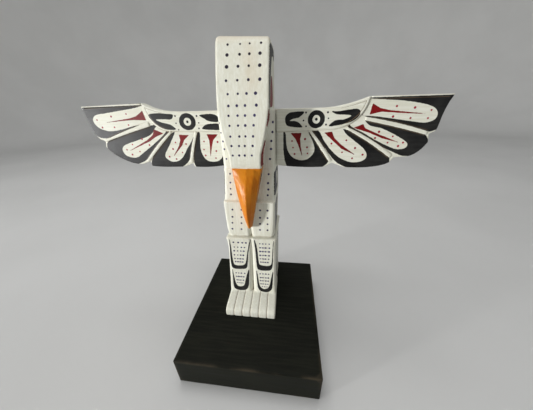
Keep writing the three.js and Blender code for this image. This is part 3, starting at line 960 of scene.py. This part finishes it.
@dataclass
class Post(CarvedPiece):
    """The eagle's head, beak, body and legs, carved from one post."""

    beak_length: float = 92.5
    beak_half: float = 21.0
    beak_tip_half: float = 2.7
    beak_taper: float = 0.93
    bill_side: float = 0.5
    bill_top: float = 0.4
    bill_end: float = 0.6
    bill_front: float = 75.0
    bill_above: float = 140.0
    toe_width: float = 13.8
    toe_draw: float = 0.03
    groove_depth: float = 0.5
    groove_half: float = 0.8
    instep: float = 25.0
    ankle: float = 34.0
    groove_fade: float = 4.0
    seam_half: float = 0.6
    # How much dirt and painted shade the hollows get: on plain surfaces, between the toes, above the legs and
    # between them.
    plain_dirt_and_shade: float = 0.16
    toe_dirt_and_shade: float = 0.35
    knee_dirt_and_shade: float = 0.34
    knee: Pair = (122.0, 132.0)
    gap_dirt_and_shade: float = 0.45
    gap_half: float = 5.0
    gap_top: float = 42.0
    back_from: float = 84.0
    edge_room: float = 2.5
    leg_front: float = 60.0
    front_facing: float = -0.1
    side_facing: float = 0.7
    cheek_from: float = 34.5
    dots_from: float = -60.0
    dot_change: float = 0.05
    dark_dots: float = 362.0
    dark_dots_fade: float = 60.0

    def toe_lines(self, at: np.ndarray) -> np.ndarray:
        """How far each point is from the nearest line between two toes.

        Args:
            at: the points, in the figure's millimetres.

        Returns:
            One distance per point, and FAR off the foot.
        """
        x, y, z = at.T
        drawn = x / (1 - self.toe_draw * np.clip(y / self.ankle, 0, 1)) / self.toe_width
        away = np.abs(drawn - np.clip(np.round(drawn), -2, 2)) * self.toe_width
        return np.where((z < self.instep) & (y < self.ankle), away, FAR)

    def relief(self, at: np.ndarray) -> np.ndarray:
        """Grooves between the toes.

        Args:
            at: the points, in the figure's millimetres.

        Returns:
            The grooves' depth at each.
        """
        fade = np.clip((self.instep - at[:, 2]) / self.groove_fade, 0, 1)
        fade *= np.clip((self.ankle - at[:, 1]) / self.groove_fade, 0, 1)
        return self.groove_depth * fade * np.exp(-(self.toe_lines(at) / self.groove_half) ** 2)

    def hollows(self, mesh: bpy.types.Mesh) -> np.ndarray:
        """Keeps the dirt and painted shade between the toes, above the legs and between them, and hardly any
        elsewhere.

        Args:
            mesh: the worked mesh.

        Returns:
            One value per vertex, as for any carved piece.
        """
        x, y, z = self.places(mesh).T
        share = np.full(len(x), self.plain_dirt_and_shade)
        share = np.where((z < self.instep) & (y < self.ankle - 2), self.toe_dirt_and_shade, share)
        share = np.where((z > self.knee[0]) & (z < self.knee[1]), self.knee_dirt_and_shade, share)
        gap = (np.abs(x) < self.gap_half) & (z < self.gap_top) & (y < self.leg_front)
        share = np.where(gap, self.gap_dirt_and_shade, share)
        hollow = super().hollows(mesh)
        return np.where(hollow > 0, hollow * share, hollow)

    def plain_points(self, mesh: bpy.types.Mesh) -> np.ndarray:
        """The back, apart from the edges of what is painted there.

        Args:
            mesh: the painted mesh.

        Returns:
            The vertices' numbers.
        """
        y = self.places(mesh)[:, 1]
        ink, red = (np.abs(numbers(mesh.attributes[name].data, "value")) for name in ("ink", "red"))
        return np.flatnonzero((y > self.back_from) & (ink > self.edge_room) & (red > self.edge_room))

    def paint(self, mesh: bpy.types.Mesh) -> None:
        """Lays out the beak, the leg forms, the side panels, the lines between the toes and the dots.

        Args:
            mesh: the worked mesh.
        """
        places, normals = self.places(mesh), self.normals(mesh)
        x, y, z = places.T
        share = np.clip((CHIN - z) / self.beak_length, 0, 1)
        half = self.beak_half * (1 - share) ** self.beak_taper + self.beak_tip_half * share
        bill = np.maximum(np.abs(x) - half - self.bill_side, z - CHIN - self.bill_top)
        bill = np.maximum(bill, CHIN - self.beak_length - self.bill_end - z)
        bill = np.where((y < self.bill_front) & (z > self.bill_above), bill, FAR)
        self.add_field(mesh, "bill", np.clip(bill, -FAR, FAR))
        front = (normals[:, 1] < self.front_facing) & (y < self.leg_front)
        ink = np.where(front, self.leg_forms(np.stack([x, z], 1)), FAR)
        panels, red = self.side_panels(np.stack([y, z], 1), x)
        sides = np.abs(normals[:, 0]) > self.side_facing
        ink = np.minimum(ink, np.where(sides, panels, FAR))
        self.add_field(mesh, "ink", ink)
        self.add_field(mesh, "red", np.where(sides, red, FAR))
        self.add_field(mesh, "seam", self.toe_lines(places) - self.seam_half)
        self.add_dots(mesh, self.dots(mesh))

    def leg_forms(self, at: np.ndarray) -> np.ndarray:
        """Signed distance to the four black U forms on the legs.

        Args:
            at: the points seen from the front, across and up.

        Returns:
            One distance per point, negative on the black.
        """
        best = np.full(len(at), FAR)
        for outer, inner, top in LEG_FORMS:
            best = np.minimum(best, np.maximum(ring_distance(at, outer, inner), at[:, 1] - top))
        return best

    def side_panels(self, at: np.ndarray, across: np.ndarray) -> tuple[np.ndarray, np.ndarray]:
        """Signed distances to the black panels down the sides and to the red there.

        Args:
            at: the points seen from the side, back and up.
            across: how far each point is to the right of the middle.

        Returns:
            The distance to black and the distance to red.
        """
        black = np.full(len(at), FAR)
        for outer, inner in SIDE_PANELS:
            black = np.minimum(black, ring_distance(at, outer, inner))
        face = np.minimum(loop_distance(at, smooth_loop(CHEEK)), loop_distance(at, smooth_loop(FACE_EDGE)))
        face = np.where(across > 0, np.maximum(face, across - self.cheek_from), FAR)
        red = np.minimum(loop_distance(at, smooth_loop(SIDE_LOBE)), face)
        return black, red

    def dots(self, mesh: bpy.types.Mesh) -> Dots:
        """Drops the dots onto the front of the post.

        Args:
            mesh: the worked mesh.

        Returns:
            The dots, darker towards the crown.
        """
        tree = BVHTree.FromPolygons([v.co for v in mesh.vertices], [p.vertices for p in mesh.polygons])
        places, radii, tones = [], [], []
        for row in DOT_ROWS:
            for k, across in enumerate(row.across):
                start = (np.array([across, self.dots_from, row.up]) + FIGURE_ORIGIN) * MM
                hit = tree.ray_cast(Vector(start), Vector((0, 1, 0)))[0]
                if hit is not None:
                    places.append(np.array(hit) / MM - FIGURE_ORIGIN)
                    change = self.dot_change * math.sin(len(places) * 2.1)
                    radii.append(row.radii[k % len(row.radii)] * (1 + change))
                    tones.append(min(1.0, max(0.0, (self.dark_dots - row.up) / self.dark_dots_fade)))
        return Dots(np.array(places), np.array(radii), np.array(tones))

    def finish(self) -> bpy.types.Material:
        """Brushed paint, laid on up and down the post."""
        return PaintedWood(self.name + "_paint", Brush.UPRIGHT, bill=True, face_tan_and_crown_shade=True).material()


@dataclass(frozen=True)
class DotRow:
    """A row of dots on the post's front: its height, its places across and their radii, in millimetres."""

    up: float
    across: tuple[float, ...]
    radii: tuple[float, ...]


HEAD_ROWS = tuple(DotRow(up, across, radii) for up, across, radii in (
    (382.5, (-17.3, -2.4, 9.0, 22.3), (1.4, 1.2, 1.2, 1.4)),
    (371.8, (-17.9, -2.9, 8.8, 21.3), (2.1, 1.7, 1.6, 2.1)),
    (359.5, (-18.5, -4.6, 8.2, 21.2), (2.2, 1.7, 1.6, 2.1)),
    (345.0, (-19.4, -5.6, 7.7, 21.4), (1.5, 1.6, 1.7, 2.0)),
    (330.6, (-17.8, -5.3, 5.4, 16.3), (1.5, 1.4, 1.6, 2.1)),
    (317.8, (-17.4, -6.9, 3.3, 17.2), (1.6, 1.6, 1.8, 1.8)),
    (306.8, (-17.8, -6.3, 3.0, 14.8), (1.4, 1.6, 1.6, 1.7)),
    (295.5, (-17.2, -6.2, 2.9, 13.4), (1.5, 1.5, 1.6, 1.6)),
    (282.8, (-16.9, -5.2, 2.7, 12.4), (1.5, 1.5, 1.5, 1.6)),
    (271.3, (-16.3, -6.3, 1.2, 11.4), (1.5,)),
    (259.4, (-15.6, -6.9, 0.5, 9.8), (1.5, 1.5, 1.5, 1.4)),
))
BODY_ROWS = tuple(DotRow(up, across, (1.35, 1.6) if len(across) == 2 else (1.6, 1.5, 1.7, 1.6))
                  for up, across in (
    (297.8, (-35.9, 35.9)), (285.6, (-35.1, 35.1)), (274.3, (-33.6, 33.4)), (263.8, (-32.8, 32.8)),
    (250.1, (-31.4, 31.2)), (228.8, (-27.8, 29.1)), (216.3, (-27.8, 28.2)), (207.2, (-27.9, 28.6)),
    (198.9, (-27.6, 27.8)), (177.2, (-25.6, -11.6, 16.6, 27.8)), (164.5, (-26.9, -12.7, 16.0, 27.5)),
    (153.7, (-28.1, -13.6, 15.6, 27.2)), (142.6, (-29.3, -14.5, 15.1, 26.9)),
))
LEG_ROWS = tuple(DotRow(up, across, radii) for up, across, radii in (
    (118.2, (-29.6, -21.4, -14.7, -8.7), (1.56, 1.8, 1.56, 1.68)),
    (108.3, (-29.0, -23.2, -17.1, -11.7), (1.32, 1.32, 1.44, 1.44)),
    (101.2, (-29.7, -23.8, -18.4, -13.3), (1.44, 1.2, 1.44, 1.56)),
    (93.7, (-29.5, -24.0, -19.2, -14.4), (1.32, 1.2, 1.32, 1.56)),
    (86.8, (-29.1, -24.2, -19.9, -15.3), (1.32, 1.2, 1.32, 1.56)),
    (81.0, (-28.3, -24.1, -20.1, -15.9), (1.32,)),
    (117.8, (14.1, 19.0, 23.7, 29.3), (1.2, 1.32, 1.2, 1.2)),
    (109.6, (14.1, 18.7, 23.4, 29.4), (1.56, 1.44, 1.68, 1.68)),
    (102.5, (13.9, 18.5, 23.3, 28.7), (1.56, 1.44, 1.56, 1.68)),
    (95.5, (14.0, 18.7, 23.2, 28.7), (1.44, 1.32, 1.44, 1.56)),
    (89.0, (14.1, 18.7, 23.0, 28.1), (1.2, 1.32, 1.32, 1.32)),
    (82.9, (15.0, 18.9, 22.7, 26.9), (1.2, 1.2, 1.32, 1.32)),
    (59.2, (-28.4, -23.8, -19.0, -13.4), (1.2, 1.2, 1.32, 1.32)),
    (52.2, (-28.1, -24.1, -19.9, -15.3), (1.32, 1.44, 1.32, 1.44)),
    (45.2, (-27.7, -24.1, -20.5, -16.1), (1.2,)),
    (39.3, (-27.0, -23.9, -20.7, -17.3), (0.96,)),
    (60.5, (13.4, 18.3, 23.1, 27.9), (1.32, 1.2, 1.32, 1.32)),
    (53.1, (14.0, 18.2, 23.0, 27.3), (1.32, 1.32, 1.32, 1.44)),
    (47.0, (13.8, 18.1, 22.9, 27.1), (1.32,)),
    (40.4, (14.4, 18.1, 22.4, 26.4), (1.2,)),
    (34.4, (16.6, 20.9, 24.9), (1.08,)),
))
DOT_ROWS = HEAD_ROWS + BODY_ROWS + LEG_ROWS

# Each black U form on the legs, across and up: its outer loop, the cream field in it, and its top.
LEG_FORMS: tuple[tuple[Loop, Loop, float], ...] = (
    (((-35.3, 145), (-35.8, 125), (-36.5, 116), (-37.1, 104), (-37.2, 92.7), (-36.8, 81.4), (-36, 73.8),
      (-33.9, 69.1), (-28.3, 67.2), (-20.4, 67.4), (-12.5, 68.3), (-9, 71.3), (-7.7, 76.8), (-6.9, 85.4),
      (-6.1, 94.8), (-4.8, 104), (-2.9, 114), (-0.6, 124), (2, 145)),
     ((-35.4, 145), (-35, 124.5), (-34.6, 112), (-33.9, 98.6), (-32.9, 85.5), (-31.6, 78), (-29.7, 75),
      (-24.5, 74.1), (-19.3, 74.4), (-14.3, 75.6), (-11.8, 78.4), (-9.8, 85.2), (-8.1, 96.5), (-5.9, 108),
      (-3.5, 118), (-1.6, 124), (1.4, 145)), 124.2),
    (((-35.4, 84), (-34.9, 65), (-34.7, 56.3), (-34.6, 48.2), (-34.6, 39.8), (-34.2, 30.4), (-32, 25.6),
      (-27.5, 23.3), (-21, 22.8), (-14.6, 23.8), (-10, 27.6), (-6.9, 37), (-5.9, 50.3), (-5.2, 67),
      (-4.6, 84)),
     ((-34.6, 84), (-33.7, 62.3), (-32.3, 52.4), (-30.5, 42.4), (-28.8, 35.6), (-26, 32.2), (-21.4, 31.7),
      (-16.8, 33.2), (-14.2, 38.4), (-11.9, 48.1), (-9.4, 58.2), (-7.1, 66.2), (-5.2, 84)), 66.6),
    (((4.4, 145), (4.9, 125.3), (5.3, 114.8), (5.9, 104.7), (6.7, 93.7), (7.3, 82.6), (8.3, 73.1),
      (10.2, 68.7), (16.7, 67), (23.5, 67.2), (30.3, 68.4), (33.6, 72.1), (35, 80.7), (35.3, 91.9),
      (35.6, 102.8), (36.2, 114.7), (37.1, 127.2), (37.8, 145)),
     ((5, 145), (6.5, 125), (8.4, 115), (9.7, 103.1), (10.7, 92.1), (11.3, 84.7), (12.4, 79.3),
      (15.4, 77.1), (21.9, 76.4), (28.4, 76.7), (31.6, 79), (33.1, 84.6), (33.8, 95.5), (34.4, 106.4),
      (35.1, 116.7), (36.2, 126.6), (37.2, 145)), 125.2),
    (((6, 84), (6.6, 66.3), (7.1, 57.5), (7.6, 47.7), (8.2, 38.3), (9, 31.2), (11.6, 26),
      (15.8, 23.4), (21.3, 22.6), (27, 23.4), (31.8, 27.8), (34.3, 35), (35, 46), (35.4, 56),
      (35.8, 67.5), (36.2, 84)),
     ((7, 84), (8.1, 65.4), (9.3, 57.7), (10.5, 47.9), (11.4, 40.8), (13.3, 34.5), (16.6, 30.5),
      (20.4, 29.4), (24.8, 31.2), (28.4, 35.8), (30.6, 43.6), (31.9, 51.7), (33.3, 59.6), (34.7, 67),
      (35.8, 84)), 66),
)

# Each black form down the post's sides: its outer loop and the cream that it holds, back and up.
SIDE_PANELS: tuple[tuple[Loop, Loop], ...] = (
    (((51.6, 315.2), (54.4, 330), (60.2, 350), (67.2, 370), (74, 382), (92, 385), (116, 384), (121, 377),
      (118, 371), (104, 374), (92, 372), (84, 364), (74, 349), (63, 331), (58.5, 319), (56, 314.6)),
     ((95, 380), (100, 379), (110, 379), (113, 378), (108, 378), (98, 379))),
    (((82, 307), (79, 300), (77.5, 276), (78, 250), (82, 243.5), (112, 243.5), (120, 250), (121, 276),
      (119, 300), (113, 307)),
     ((101, 296), (99, 284), (99, 266), (101, 254), (109, 253), (112, 262), (112.5, 284), (110, 296))),
    (((60, 231.5), (56.5, 224), (55.5, 204), (58.5, 197.5), (92, 197), (112, 204), (114, 218), (106, 230)),
     ((88, 223), (86, 213), (88, 205.5), (100, 207), (106, 213), (104, 221), (97, 224))),
    (((56, 186), (52.8, 178), (52.4, 150), (55.5, 138.5), (90, 136.5), (108, 147), (110, 170), (98, 186)),
     ((86, 176), (83, 162), (86, 148), (96, 148), (102, 158), (101, 170), (94, 177))),
    (((72, 120), (67, 108), (62, 72), (60, 44), (64, 32), (90, 28), (108, 40), (114, 70), (112, 102),
      (100, 119)),
     ((86, 106), (82, 88), (79, 58), (82, 43), (93, 41), (101, 52), (104, 76), (102, 96), (95, 107))),
)

# Red on the sides, back and up: a lobe behind the face on both, and two below it on the right alone.
SIDE_LOBE: Loop = (
    (60.5, 316), (64.5, 330), (72, 342), (80, 350), (90, 350), (97, 340), (98, 326), (92, 317), (76, 315.2),
)
FACE_EDGE: Loop = (
    (46, 296), (47.6, 306), (49.6, 312.6), (56, 312.6), (61, 306), (60, 298), (52, 293),
)
CHEEK: Loop = (
    (43.8, 245), (44, 258), (45.4, 272), (50, 277), (58, 276), (68, 268), (76, 256), (76, 243), (60, 242),
)


@dataclass
class Board:
    """The black board under the figure."""

    name: str = "black_board"
    node: str = "base_board"
    slot: Slot = Slot.BOARD
    edge: float = 1.6
    edge_steps: int = 4
    cuts: tuple[int, int, int] = (24, 26, 6)
    worn_reach: float = 3.0
    worn_depth: float = 1.4
    waviness: float = 0.25
    wave: float = 16.0

    def build(self) -> bpy.types.Object:
        """Makes the board: a sawn block with eased edges.

        Returns:
            The object, riding on the body in place of its solid.
        """
        low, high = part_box(self.node)
        size, middle = high - low, (high + low) / 2
        bm = bmesh.new()
        bmesh.ops.create_cube(bm, size=1.0)
        bmesh.ops.scale(bm, vec=size, verts=bm.verts)
        bmesh.ops.translate(bm, vec=middle, verts=bm.verts)
        bmesh.ops.bevel(bm, geom=bm.edges[:], offset=self.edge * MM, offset_type="OFFSET",
                        segments=self.edge_steps, profile=0.5, affect="EDGES", material=-1)
        for axis, count in enumerate(self.cuts):
            for k in range(1, count):
                point = Vector(middle)
                point[axis] = low[axis] + size[axis] * k / count
                normal = Vector((0, 0, 0))
                normal[axis] = 1
                bmesh.ops.bisect_plane(bm, geom=bm.verts[:] + bm.edges[:] + bm.faces[:], plane_co=point,
                                       plane_no=normal, dist=1e-6)
        bmesh.ops.recalc_face_normals(bm, faces=bm.faces)
        bm.normal_update()
        mesh = bpy.data.meshes.new(self.name)
        worn = []
        for vert in bm.verts:
            near = sorted(min(vert.co[k] - low[k], high[k] - vert.co[k]) for k in range(3))
            worn.append(-self.worn_depth * max(0.0, 1 - (near[0] + near[1]) / (self.worn_reach * MM)))
        for vert in bm.verts:
            vert.co -= vert.normal * (abs(noise.noise(vert.co * self.wave)) * self.waviness * MM)
        for face in bm.faces:
            face.smooth = True
        bm.to_mesh(mesh)
        bm.free()
        CarvedPiece.add_field(mesh, "hollow", np.array(worn))
        mesh.materials.append(BoardPaint().material())
        piece = bpy.data.objects.new(self.name, mesh)
        bpy.context.scene.collection.objects.link(piece)
        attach(piece, ROOT)
        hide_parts(self.node)
        LOG.info("%s: %d faces", self.name, len(mesh.polygons))
        return piece


# The floor, the lights and the camera.


@dataclass(frozen=True)
class SoftLight:
    """One square soft light: where it hangs, what it points at, its side in metres and its power in watts."""

    name: str
    place: Triple
    target: Triple
    size: float
    power: float

    def hang(self) -> None:
        """Adds the light to the scene, unseen by the camera."""
        lamp = bpy.data.lights.new(self.name, "AREA")
        lamp.size = self.size
        lamp.energy = self.power
        hung = bpy.data.objects.new(self.name, lamp)
        bpy.context.scene.collection.objects.link(hung)
        hung.location = self.place
        aim = Vector(self.target) - Vector(self.place)
        hung.rotation_euler = aim.to_track_quat("-Z", "Y").to_euler()
        hung.visible_camera = False


@dataclass
class Studio:
    """A pale floor that sweeps up into a backdrop, a low light from the left and a large one above."""

    reach: float = 4.6
    curve: float = 1.3
    height: float = 3.0
    surround: Triple = (0.92, 0.93, 0.95)
    surround_strength: float = 0.30
    rounds: int = 96
    bends: int = 12
    lights: tuple[SoftLight, ...] = (
        SoftLight("key", (-2.57, -1.47, 0.15), (0.0, 0.05, 0.27), 0.26, 94.0),
        SoftLight("top", (-0.3, 0.1, 2.7), (0.0, 0.0, 0.0), 1.5, 32.0),
    )

    def build(self) -> None:
        """Makes the floor with its backdrop, the surround and the lights."""
        self.lay_sweep()
        self.light_surround()
        for light in self.lights:
            light.hang()

    def lay_sweep(self) -> None:
        """A round floor whose edge curves up into a wall."""
        flat = self.reach - self.curve
        angles = [math.pi / 2 * k / self.bends for k in range(self.bends + 1)]
        profile = [(0.0, 0.0), (flat / 2, 0.0)]
        profile += [(flat + self.curve * math.sin(a), self.curve * (1 - math.cos(a))) for a in angles]
        profile.append((self.reach, self.height))
        bm = bmesh.new()
        verts = [bm.verts.new((x, 0.0, z)) for x, z in profile]
        edges = [bm.edges.new(pair) for pair in zip(verts[:-1], verts[1:])]
        bmesh.ops.spin(bm, geom=verts + edges, cent=(0, 0, 0), axis=(0, 0, 1), angle=2 * math.pi,
                       steps=self.rounds, use_merge=True)
        bmesh.ops.remove_doubles(bm, verts=bm.verts, dist=1e-5)
        bmesh.ops.recalc_face_normals(bm, faces=bm.faces)
        if min(bm.faces, key=lambda face: face.calc_center_median().length).normal.z < 0:
            bmesh.ops.reverse_faces(bm, faces=bm.faces)
        for face in bm.faces:
            face.smooth = True
        mesh = bpy.data.meshes.new("sweep")
        bm.to_mesh(mesh)
        bm.free()
        sweep = bpy.data.objects.new("sweep", mesh)
        bpy.context.scene.collection.objects.link(sweep)
        b = Bench("pale_floor")
        cloud = b.grain(2.0, detail=3.0)
        colour = b.blend(b.step(cloud, 0.3, 0.7), *FLOOR_PALE)
        mesh.materials.append(b.finish(colour, 0.8, cloud, depth=0.00005, specular=0.15))

    def light_surround(self) -> None:
        """Sets the even light that comes from all round."""
        world = bpy.data.worlds.new("surround")
        bpy.context.scene.world = world
        world.use_nodes = True
        ground = world.node_tree.nodes["Background"]
        ground.inputs["Color"].default_value = (*self.surround, 1.0)
        ground.inputs["Strength"].default_value = self.surround_strength


@dataclass(frozen=True)
class Camera:
    """The view from close in front, a little right and above, with a wide lens."""

    place: Triple = (0.0612, -0.2504, 0.3668)
    turn: float = 7.46
    dip: float = 25.77
    roll: float = -1.64
    focal_pixels: float = 203.0
    frame_width: float = 533.0
    sensor: float = 36.0

    def build(self) -> bpy.types.Object:
        """Makes the scene's camera.

        Returns:
            The camera object.
        """
        turn, dip, roll = (math.radians(a) for a in (self.turn, self.dip, self.roll))
        ahead = Vector((-math.sin(turn) * math.cos(dip), math.cos(turn) * math.cos(dip), -math.sin(dip)))
        level = Vector((math.cos(turn), math.sin(turn), 0.0))
        upright = level.cross(ahead)
        right = math.cos(roll) * level + math.sin(roll) * upright
        up = -math.sin(roll) * level + math.cos(roll) * upright
        data = bpy.data.cameras.new("camera")
        data.sensor_width = self.sensor
        data.lens = self.focal_pixels / self.frame_width * self.sensor
        data.clip_start = 0.01
        camera = bpy.data.objects.new("camera", data)
        camera.matrix_world = Matrix((
            (right.x, up.x, -ahead.x, self.place[0]),
            (right.y, up.y, -ahead.y, self.place[1]),
            (right.z, up.z, -ahead.z, self.place[2]),
            (0, 0, 0, 1),
        ))
        bpy.context.scene.collection.objects.link(camera)
        bpy.context.scene.camera = camera
        return camera


@dataclass
class Totem:
    """The whole work, in the order that it is put together."""

    parts: list[Union[Board, Post, Wing]] = field(default_factory=lambda: [
        Board(),
        Post("carved_post", "eagle_post", Slot.POST, fineness=1.0),
        Wing("carved_left_wing", "left_wing", Slot.WING, fineness=0.66, waviness=0.15, drawing=LEFT),
        Wing("carved_right_wing", "right_wing", Slot.WING, fineness=0.66, waviness=0.15, drawing=RIGHT),
    ])

    def build(self) -> None:
        """Makes every piece."""
        for part in self.parts:
            part.build()


def main() -> None:
    """Builds the scene in order."""
    logging.basicConfig(level=logging.INFO, format="%(name)s: %(message)s")
    bpy.context.scene.view_settings.view_transform = "Standard"
    Camera().build()
    Totem().build()
    Studio().build()


if __name__ == "__main__":
    main()
